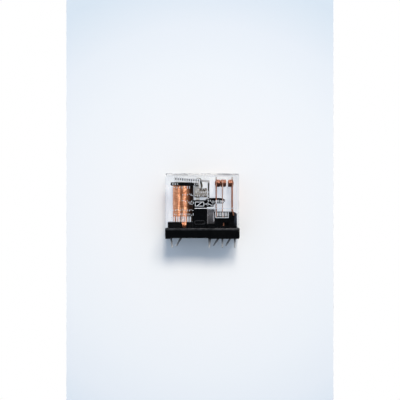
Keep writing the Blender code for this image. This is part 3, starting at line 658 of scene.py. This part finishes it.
def roundedOutline(shape):
    corner = shape["corner"]
    left, right = shape["left"] + corner, shape["right"] - corner
    low, high = shape["low"] + corner, shape["high"] - corner
    outline = []
    for x, z, start in ((right, high, 0), (left, high, 90), (left, low, 180), (right, low, 270)):
        for step in range(5):
            angle = math.radians(start + step * 22.5)
            outline.append((x + corner * math.cos(angle), z + corner * math.sin(angle)))
    return outline


# A smooth line through the given points
def curveThrough(points, steps=5):
    dense = []
    for index in range(len(points) - 1):
        before = points[max(index - 1, 0)]
        start, end = points[index], points[index + 1]
        after = points[min(index + 2, len(points) - 1)]
        for step in range(steps):
            t = step / steps
            dense.append(tuple(
                0.5 * (2 * b + (c - a) * t + (2 * a - 5 * b + 4 * c - d) * t * t + (3 * b - a - 3 * c + d) * t ** 3)
                for a, b, c, d in zip(before, start, end, after)
            ))
    return dense + [points[-1]]


def tube(name, points, radius, look, closed=False):
    curve = bpy.data.curves.new(name, "CURVE")
    curve.dimensions = "3D"
    curve.bevel_depth = radius
    curve.bevel_resolution = 2
    curve.use_fill_caps = True
    spline = curve.splines.new("POLY")
    spline.points.add(len(points) - 1)
    spline.use_cyclic_u = closed
    for point, place in zip(spline.points, points):
        point.co = (*place, 1)
    strand = addObject(name, curve)
    mesh = bpy.data.meshes.new_from_object(strand.evaluated_get(bpy.context.evaluated_depsgraph_get()))
    bpy.data.objects.remove(strand)
    bm = bmesh.new()
    bm.from_mesh(mesh)
    bmesh.ops.remove_doubles(bm, verts=bm.verts, dist=1e-7)
    bm.to_mesh(mesh)
    bm.free()
    mesh.materials.clear()
    return addPiece(name, smoothed(mesh), look)


# Winding: one long helix of fine wire, drawn as a rippled cylinder whose ripple climbs one pitch a turn

winding = {
    "sides": 72,
    "pointsPerTurn": 4,
    "wireHeight": 0.028 * mm,
    "wander": 0.035 * mm,
    "swell": 0.05 * mm,
    "inset": 0.03 * mm,
    "bore": 2.72 * mm,
    "overBobbinFoot": 2.3 * mm,
    "underTop": 0.02 * mm,
}


def windingMesh():
    low, high = cornersOf("winding")
    radius = (high.x - low.x) / 2
    centreX = (high.x + low.x) / 2
    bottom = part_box("bobbin")[0][2] + winding["overBobbinFoot"]
    top = high.z - winding["underTop"]
    turns = int((top - bottom) / wire["pitch"])
    rings = turns * winding["pointsPerTurn"]
    wobble = [random.uniform(-1, 1) for _ in range(turns + 2)]
    angles = [2 * math.pi * side / winding["sides"] for side in range(winding["sides"])]
    bm = bmesh.new()
    loops = []
    for ring in range(rings + 1):
        loop = []
        z = bottom + (top - bottom) * ring / rings
        swell = winding["swell"] * math.sin(math.pi * ring / rings)
        for side, angle in enumerate(angles):
            phase = ring / winding["pointsPerTurn"] + side / winding["sides"]
            stray = wobble[int(phase) % len(wobble)]
            groove = winding["wireHeight"] * (1 - abs(math.sin(math.pi * phase)))
            drift = winding["wander"] * (0.5 * stray * math.sin(angle * 2 + stray * 3) - 1)
            r = radius - groove + drift - winding["inset"] + swell
            loop.append(bm.verts.new((centreX + r * math.cos(angle), r * math.sin(angle), z)))
        loops.append(loop)
    for z in (top, bottom):
        loops.append([
            bm.verts.new((centreX + winding["bore"] * math.cos(angle), winding["bore"] * math.sin(angle), z))
            for angle in angles
        ])
    bridge(bm, loops + loops[:1])
    mesh = meshOf("windingTurns", bm)
    mesh.shade_smooth()
    return mesh


turns = addPiece("windingTurns", windingMesh(), "wire")
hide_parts("winding")

# Leads: the wires that leave the winding and drop through the slot in front
leads = {"count": 9, "spread": 1.75 * mm, "gathered": 0.62 * mm, "wire": 0.11 * mm, "fromMiddle": 0.5 * mm}


def makeLeads():
    low, high = cornersOf("winding")
    slotMiddle = (low.x + high.x) / 2 + leads["fromMiddle"]
    front = low.y
    for lead in range(leads["count"]):
        share = lead / (leads["count"] - 1) - 0.5
        x = slotMiddle + share * leads["spread"]
        depth = front + 0.14 * mm + random.uniform(0, 0.25) * mm
        sway = random.uniform(-0.12, 0.12) * mm
        narrow = -share * leads["gathered"]  # the bundle closes up towards its foot
        points = [
            (x + sway * 2, front + 1.02 * mm, flangeTop + 3.5 * mm),
            (x + sway, front + 0.86 * mm, flangeTop + 2.65 * mm),
            (x + sway * 0.5, depth + 0.35 * mm, flangeTop + 2.25 * mm),
            (x + narrow * 0.3, depth + 0.1 * mm, flangeTop + 1.7 * mm),
            (x - sway + narrow * 0.7, depth, flangeTop + 0.95 * mm),
            (x - sway * 1.5 + narrow, depth, flangeTop + 0.45 * mm),
            (x - sway * 1.2 + narrow * 1.1, depth + 0.12 * mm, flangeTop + 0.12 * mm),
        ]
        tube(f"lead_{lead}", points, leads["wire"], "wire")


makeLeads()
print("relay: winding made")


# Hinge spring: one leaf that bulges out of the corner, comes up through the armature and bends over its top

leaf = {
    "width": 1.9 * mm,
    "taper": 0.25,
    # x, height and thickness along the leaf, in mm
    "path": [
        (1.05, 17.55, 0.40), (1.0, 18.2, 0.45), (0.72, 18.85, 0.50), (0.25, 19.1, 0.52), (-0.2, 18.85, 0.5),
        (-0.42, 18.95, 0.5), (-0.43, 19.5, 0.6), (-0.28, 20.2, 0.75), (-0.30, 20.9, 0.85), (-0.50, 21.6, 0.75),
        (-0.66, 22.3, 0.45), (-0.72, 22.9, 0.40), (-0.82, 23.35, 0.34), (-1.25, 23.56, 0.24), (-2.45, 23.50, 0.2),
    ],
}


def leafMesh():
    dense = curveThrough(leaf["path"])
    path = [Vector((x * mm, 0, heightOf(z))) for x, z, _ in dense]
    bm = bmesh.new()
    loops = []
    for index, point in enumerate(path):
        along = path[min(index + 1, len(path) - 1)] - path[max(index - 1, 0)]
        outward = along.normalized().cross(Vector((0, 1, 0))) * dense[index][2] * mm / 2
        half = Vector((0, leaf["width"] / 2 * (1 - leaf["taper"] * index / len(path)), 0))
        loops.append([bm.verts.new(point + a * half + b * outward) for a, b in ((-1, -1), (1, -1), (1, 1), (-1, 1))])
    closedSkin(bm, loops)
    return smoothed(meshOf("hingeLeaf", bm), 50)


hingeLeaf = addPiece("hingeLeaf", leafMesh(), "spring")
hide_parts("hinge_spring")


# Clip: two cheeks on the yoke's edges that hold the hinge spring's foot, the rear one taller, in mm

clip = {
    "frontCheek": [
        (-3.20, 15.95), (1.75, 15.95), (1.90, 16.1), (1.90, 18.3), (1.75, 18.45), (1.25, 18.45), (1.1, 18.3),
        (1.1, 17.95), (-0.60, 17.95), (-1.10, 18.5), (-1.15, 20.15), (-1.30, 20.3), (-3.10, 20.3), (-3.20, 20.2),
    ],
    "rearCheek": [
        (-3.20, 15.95), (1.75, 15.95), (1.90, 16.1), (1.90, 19.5), (1.75, 19.65), (-0.95, 19.65), (-1.10, 19.8),
        (-1.15, 20.15), (-1.30, 20.3), (-3.10, 20.3), (-3.20, 20.2),
    ],
    "near": 3.41, "far": 3.66,
    "rivet": (-1.85, 17.2), "rivetRadius": 0.42, "rivetSteps": (0.16, 0.24),
    "bar": (1.0, 17.1), "barRadius": 0.34,
}


def makeClip():
    bm = bmesh.new()
    for side, cheek in ((-1, "frontCheek"), (1, "rearCheek")):
        near, far = side * clip["near"], side * clip["far"]
        low, high = (far + side * step for step in clip["rivetSteps"])
        plate(bm, clip[cheek], near, far)
        plate(bm, circle(clip["rivet"], clip["rivetRadius"]), far, low)
        plate(bm, circle(clip["rivet"], clip["rivetRadius"] * 0.6), low, high)
    plate(bm, circle(clip["bar"], clip["barRadius"]), -clip["near"], clip["near"])
    addPiece("springClip", meshOf("springClip", bm), "clip")


makeClip()
print("relay: hinge spring made")


# Frosted faces of the cover's two ribs, and the raised frame on the base's block, in mm

rib = {"left": 1.93, "right": 4.72, "low": 5.62, "high": 11.6, "corner": 0.22, "face": 4.60, "thick": 0.03}


def ribSkin(name, side):
    bm = bmesh.new()
    plate(bm, roundedOutline(rib), side * rib["face"], side * (rib["face"] - rib["thick"]))
    addPiece(name, meshOf(name, bm), "frost")


ribSkin("ribFrontSkin", -1)
ribSkin("ribRearSkin", 1)

raised = {"left": -2.95, "right": 1.05, "low": 5.45, "high": 6.75, "corner": 0.4, "bead": 0.12, "face": 5.44}
raisedLine = [(x * mm, -raised["face"] * mm, heightOf(z)) for x, z in roundedOutline(raised)]
tube("raisedFrame", raisedLine, raised["bead"] * mm, "ridge", closed=True)
print("relay: ribs and frame made")


# Tin on the pins: an uneven coat, thick at the root and thin at the tip. Each centre line is (x, y, z) in mm.

pins = {
    "coilFront": [(-12.24, -3.75, -0.02), (-12.0, -3.75, -2.2), (-11.78, -3.75, -3.66)],
    "coilRear": [(-8.36, 3.75, -0.05), (-9.45, 3.75, -1.95), (-10.38, 3.75, -3.58)],
    "openFront": [(3.15, -3.75, -0.02), (2.92, -3.75, -2.2), (2.69, -3.75, -3.62)],
    "openRear": [(2.75, 3.75, -0.02), (2.75, 3.75, -2.2), (2.75, 3.75, -3.66)],
    "commonFront": [(7.85, -3.75, -0.02), (7.85, -3.75, -2.2), (7.85, -3.75, -3.66)],
    "commonRear": [(6.84, 3.75, -0.05), (5.62, 3.75, -1.95), (4.62, 3.75, -3.50)],
    "closedFront": [(12.75, -3.75, -0.02), (12.75, -3.75, -2.2), (12.75, -3.75, -3.66)],
    "closedRear": [(11.64, 3.75, -0.05), (10.48, 3.75, -1.95), (9.60, 3.75, -3.50)],
}
coat = {
    "root": 0.46, "shank": 0.31, "tip": 0.27,  # half widths in mm
    "deep": 0.56, "deepCoil": 0.36,  # half depths
    "rootFade": 3.2, "wave": 0.025, "waves": 11,
    "bent": 1.45, "bentFrom": 1.5,  # a pin that leans this far shows this much wider
    "end": 0.55, "steps": 14, "sides": 16,
}


def pinCoat(name, line):
    deep = coat["deepCoil"] if name.startswith("coil") else coat["deep"]
    wider = coat["bent"] if line[0][0] - line[-1][0] > coat["bentFrom"] else 1.0
    dense = curveThrough(line, coat["steps"])
    last = len(dense) - 1
    bm = bmesh.new()
    loops = []
    for index, (x, y, z) in enumerate(dense):
        share = index / last
        half = coat["shank"] + (coat["root"] - coat["shank"]) * max(0.0, 1 - share * coat["rootFade"]) ** 2
        half += (coat["tip"] - coat["shank"]) * share
        half += coat["wave"] * math.sin(share * coat["waves"] + len(name) + x)
        end = coat["end"] if index in (0, last) else 1.0
        loop = []
        for side in range(coat["sides"]):
            angle = 2 * math.pi * (side + 0.5) / coat["sides"]
            across, depth = math.cos(angle), math.sin(angle)
            loop.append(bm.verts.new((
                (x + end * half * wider * math.copysign(abs(across) ** 0.6, across)) * mm,
                (y + end * deep * math.copysign(abs(depth) ** 0.5, depth)) * mm,
                heightOf(z),
            )))
        loops.append(loop)
    closedSkin(bm, loops)
    addPiece(f"pinCoat_{name}", smoothed(meshOf(f"pinCoat_{name}", bm), 60), "tin")


for name, line in pins.items():
    pinCoat(name, line)
print("relay: pins coated")


# Edges of the cover: slim bars inside its corners, with a painted reflection that shows as the faint lines that
# clear plastic has there

edge = {"inset": 0.16 * mm, "wide": 0.20 * mm, "cutBack": 0.24 * mm, "overFlange": 0.3 * mm}


def makeEdges():
    low = coverLow + Vector((1, 1, 0)) * edge["inset"]
    high = coverHigh - Vector((1, 1, 1)) * edge["inset"]
    bm = bmesh.new()

    def bar(start, end):
        start, end = Vector(start), Vector(end)
        made = bmesh.ops.create_cube(bm, size=1)["verts"]
        scale = [abs(a) - edge["cutBack"] if abs(a) > 1e-6 else edge["wide"] for a in end - start]
        bmesh.ops.scale(bm, vec=scale, verts=made)
        bmesh.ops.translate(bm, vec=(start + end) / 2, verts=made)

    for x in (low.x, high.x):
        bar((x, low.y, high.z), (x, high.y, high.z))
        bar((x, low.y, coverLow.z + edge["overFlange"]), (x, low.y, high.z))
    for y in (low.y, high.y):
        bar((low.x, y, high.z), (high.x, y, high.z))
    addPiece("coverEdges", meshOf("coverEdges", bm), "edge")


makeEdges()
print("relay: cover edges made")


# Printing on the cover: plain rules, rows of short dashes and a contact diagram, a hair proud of the wall.
# Each stroke runs from one point to another, as (x, z) in mm over the base's underside, with its width.

ink = {"thick": 0.016 * mm, "lift": 0.002 * mm, "line": 0.22}
printY = coverLow.y - ink["lift"] - ink["thick"] / 2


def printStrokes(name, strokes):
    bm = bmesh.new()
    for (x0, z0), (x1, z1), width in strokes:
        start, end = Vector((x0, 0, z0)), Vector((x1, 0, z1))
        along = end - start
        made = bmesh.ops.create_cube(bm, size=1)["verts"]
        bmesh.ops.scale(bm, vec=(along.length * mm, ink["thick"], width * mm), verts=made)
        tilt = Matrix.Rotation(-math.atan2(along.z, along.x), 3, "Y")
        bmesh.ops.rotate(bm, matrix=tilt, verts=made)
        centre = (start + end) / 2
        bmesh.ops.translate(bm, vec=(centre.x * mm, printY, heightOf(centre.z)), verts=made)
    addPiece(name, meshOf(name, bm), "ink")


def uprights(places, low, high, width):
    return [((x, low), (x, high), width) for x in places]


# The sides of an outline as strokes
def outlined(points, width):
    return [(*pair, width) for pair in zip(points, points[1:])]


# Rows of upright bars and flat dashes of uneven length
rowLook = {"upright": 0.6, "tall": (0.75, 1.0), "lifts": (-0.4, 0.0, 0.4), "dash": 0.3, "spacing": (0.8, 1.2)}


def row(left, right, middle, height, step):
    strokes = []
    x = left
    while x < right:
        if random.random() < rowLook["upright"]:
            tall = height * random.uniform(*rowLook["tall"]) / 2
            strokes.append(((x, middle - tall), (x, middle + tall), ink["line"]))
        else:
            z = middle + random.choice(rowLook["lifts"]) * height
            strokes.append(((x - step * rowLook["dash"], z), (x + step * rowLook["dash"], z), ink["line"]))
        x += step * random.uniform(*rowLook["spacing"])
    return strokes


topBars = {
    "places": (-10.75, -9.85, -9.0, -8.1, -7.2, -6.35, -5.5, -4.6, -3.75, -2.9, -2.05, -1.2),
    "from": (-11, 23.05), "fall": 0.075, "below": 0.95, "above": 0.85, "lean": 0.05, "width": 0.46,
}
# left, right, middle height, height and step of each row
rows = (
    (-11.6, -9.4, 21.1, 0.8, 0.7), (-3.0, -1.6, 21.0, 0.8, 0.62), (-10.9, -4.2, 19.75, 0.95, 0.9),
    (-2.6, 1.4, 19.2, 0.9, 0.75), (-2.4, 2.4, 17.9, 0.9, 0.7), (-2.6, 2.6, 16.5, 0.9, 0.62),
    (-5.0, -3.3, 16.9, 0.8, 0.6), (-7.6, -5.6, 16.9, 0.6, 0.8),
    (-7.8, -3.3, 14.3, 0.7, 0.65), (-5.0, -3.4, 13.4, 0.5, 0.6), (-5.0, -3.3, 10.8, 0.8, 0.6),
    (-12.4, -9.4, 9.3, 0.6, 0.75), (-8.6, -3.4, 9.3, 0.8, 0.7),
    (5.0, 8.7, 14.3, 0.9, 0.62), (5.0, 8.2, 13.3, 0.5, 0.7), (4.8, 7.8, 12.5, 0.7, 0.75),
    (-12.2, -5.6, 10.85, 0.6, 0.95),
)

rules = [((-2.95, 15.38), (2.65, 15.38), 0.22), ((-2.95, 11.65), (12.2, 11.65), 0.26)]
blocks = {"starts": (-12.05, -10.0, -7.9, -5.8), "steps": (0, 0.6, 1.2), "low": 6.4, "high": 8.45, "width": 0.34}

# Contact diagram: a coil as a box with a slash, and a changeover contact between three round terminals
diagram = {
    "coil": [(-2.75, 12.5), (-2.75, 14.1), (0.55, 14.1), (0.55, 12.5), (-2.75, 12.5)],
    "slash": [(-2.1, 12.5), (-0.1, 14.1)],
    "link": [(0.55, 13.3), (1.6, 13.3)],
    "blade": [(2.5, 13.3), (3.8, 12.75)],
    "terminals": ((2.1, 13.3), (4.1, 14.1), (4.1, 12.5)),
    "radius": 0.42, "ringLine": 0.17,
    # x, low and high of each bar
    "bars": (
        (2.3, 14.2, 14.9), (3.1, 14.3, 14.9), (5.5, 13.3, 14.9), (6.2, 13.9, 14.9),
        (6.95, 13.6, 14.8), (7.7, 13.7, 14.7), (8.4, 13.8, 14.7),
    ),
    "openFrame": [(5.2, 10.3), (5.2, 8.0), (10.1, 8.0), (10.1, 10.3)],
    "frameBars": (5.9, 6.5, 7.1, 7.7, 8.3, 8.9, 9.5), "frameBarLow": 8.5, "frameBarHigh": 10.1,
    "frameLine": 0.24, "barWidth": 0.27,
}


def makeRows():
    strokes = []
    for x in topBars["places"]:
        z = topBars["from"][1] - topBars["fall"] * (x - topBars["from"][0])
        strokes.append(((x, z - topBars["below"]), (x + topBars["lean"], z + topBars["above"]), topBars["width"]))
    for measures in rows:
        strokes += row(*measures)
    printStrokes("printRows", strokes)


def makeBars():
    strokes = []
    for x in blocks["starts"]:
        strokes += uprights([x + step for step in blocks["steps"]], blocks["low"], blocks["high"], blocks["width"])
    printStrokes("printBars", strokes)


def makeDiagram():
    strokes = []
    for part in ("coil", "slash", "link", "blade"):
        strokes += outlined(diagram[part], ink["line"])
    for terminal in diagram["terminals"]:
        ring = circle(terminal, diagram["radius"], 12)
        strokes += outlined(ring + ring[:1], diagram["ringLine"])
    for x, low, high in diagram["bars"]:
        strokes += uprights([x], low, high, diagram["barWidth"])
    strokes += outlined(diagram["openFrame"], diagram["frameLine"])
    strokes += uprights(
        diagram["frameBars"], diagram["frameBarLow"], diagram["frameBarHigh"], diagram["barWidth"]
    )
    printStrokes("printDiagram", strokes)


printStrokes("printRules", rules)
makeRows()
makeBars()
makeDiagram()
print("relay: printing made")


# Paper that the relay lies on, seen straight on

backdrop = {"left": -55.27 * mm, "right": 53.38 * mm, "reach": 0.45, "gap": 0.05 * mm}


def makePaper():
    bm = bmesh.new()
    bmesh.ops.create_grid(bm, x_segments=2, y_segments=2, size=0.5)
    y = cornersOf("base")[1].y + backdrop["gap"]
    width = backdrop["right"] - backdrop["left"]
    for vert in bm.verts:
        vert.co = (backdrop["left"] + (vert.co.x + 0.5) * width, y, vert.co.y * backdrop["reach"])
    mesh = bpy.data.meshes.new("paper")
    bm.to_mesh(mesh)
    bm.free()
    if mesh.polygons[0].normal.y > 0:
        mesh.flip_normals()
    mesh.materials.append(finishes["paper"])
    paper = addObject("paper", mesh)
    paper.visible_shadow = False


makePaper()


# Camera: straight down on the relay's side, as in the photograph

shot = {
    "pixels": 400,
    "pixelsPerMm": 2.575,
    "centre": (-0.91, 14.87),  # what the middle of the picture shows: X, and height over the base's underside
    "distance": 270 * mm,
    "sensor": 36.0,
}
camera = addObject("camera", bpy.data.cameras.new("camera"))
field = shot["pixels"] / shot["pixelsPerMm"] * mm
camera.data.sensor_width = shot["sensor"]
camera.data.lens = shot["sensor"] * shot["distance"] / field
camera.data.clip_start = 0.005
camera.data.clip_end = 10
camera.location = (shot["centre"][0] * mm, coverLow.y - shot["distance"], heightOf(shot["centre"][1]))
camera.rotation_euler = (math.radians(90), 0, 0)
bpy.context.scene.camera = camera


# Light: a window to the upper right, narrow and bright with a wide dim side. What glosses show is kept apart from
# what lights the paper: the window's bright pane on the right and a smaller one on the left.
# Directions are (across, up) in degrees from the camera's side, and sizes are in degrees too.

sun, pane, plain = (1.0, 0.90, 0.78), (1.0, 0.97, 0.93), (1.0, 1.0, 1.0)
lamps = {
    "key": {"from": (4.0, 39.0), "size": (9.0, 15.0), "level": 0.31, "colour": sun, "sees": "diffuse"},
    "side": {"from": (19.0, 38.0), "size": (22.0, 16.0), "level": 0.30, "colour": sun, "sees": "diffuse"},
    "gleam": {
        "from": (20.5, 28.0), "size": (29.0, 22.0), "level": 0.42, "colour": (1.0, 0.96, 0.92), "sees": "glossy",
    },
    "left": {"from": (-46.0, 26.0), "size": (13.0, 22.0), "level": 0.20, "colour": pane, "sees": "glossy"},
    "top": {"from": (0.0, 55.0), "size": (34.0, 10.0), "level": 0.12, "colour": pane, "sees": "glossy"},
    "back": {"from": (160.0, 35.0), "size": (30.0, 30.0), "level": 0.30, "colour": plain, "sees": "both"},
}
lampDistance = 3.0
middle = Vector((0, 0, heightOf(11)))
for name, lamp in lamps.items():
    across, up = (math.radians(angle) for angle in lamp["from"])
    rise = math.tan(up) * abs(math.cos(across))
    towards = Vector((math.sin(across), -math.cos(across), rise)).normalized()
    light = bpy.data.lights.new(name, "AREA")
    light.shape = "RECTANGLE"
    light.size, light.size_y = (2 * lampDistance * math.tan(math.radians(angle / 2)) for angle in lamp["size"])
    light.energy = lamp["level"] * (math.pi * lampDistance) ** 2 / abs(towards.y)
    light.color = lamp["colour"]
    holder = addObject(name, light)
    holder.visible_diffuse = lamp["sees"] != "glossy"
    holder.visible_glossy = lamp["sees"] != "diffuse"
    holder.location = middle + towards * lampDistance
    holder.rotation_euler = (-towards).to_track_quat("-Z", "Y").to_euler()

# The room: soft bluish air, dark where the camera stands and pale around, and white behind what is clear
room = {
    "air": (0.39, 0.465, 0.57),
    "front": (0.015, 0.016, 0.018),
    "around": (0.62, 0.65, 0.69),
    "frontDepths": (-0.30, -0.75),  # Y of a ray's direction where the pale room ends and where the dark is full
    "behindClear": (0.96, 0.97, 0.985),
    "seen": (1, 1, 1),
}


def roomTree(sky):
    def glow(colour):
        return sky.node("ShaderNodeBackground", {}, {"Color": (*colour, 1)})

    def ray(kind):
        return sky.node("ShaderNodeLightPath", out=kind)

    towards = sky.node("ShaderNodeTexCoord", out="Generated")
    depth = sky.node("ShaderNodeSeparateXYZ", {}, {0: towards}, out="Y")
    mirrored = sky.pick(sky.between(depth, *room["frontDepths"]), glow(room["around"]), glow(room["front"]))
    lit = sky.pick(ray("Is Glossy Ray"), glow(room["air"]), mirrored)
    through = sky.pick(ray("Is Transmission Ray"), lit, glow(room["behindClear"]))
    return sky.pick(ray("Is Camera Ray"), through, glow(room["seen"]))


world = bpy.data.worlds.new("room")
bpy.context.scene.world = world
world.use_nodes = True
sky = Finish(world.node_tree)
sky.node("ShaderNodeOutputWorld", {}, {"Surface": roomTree(sky)})

bpy.context.scene.view_settings.view_transform = "Standard"

print("relay: scene made")
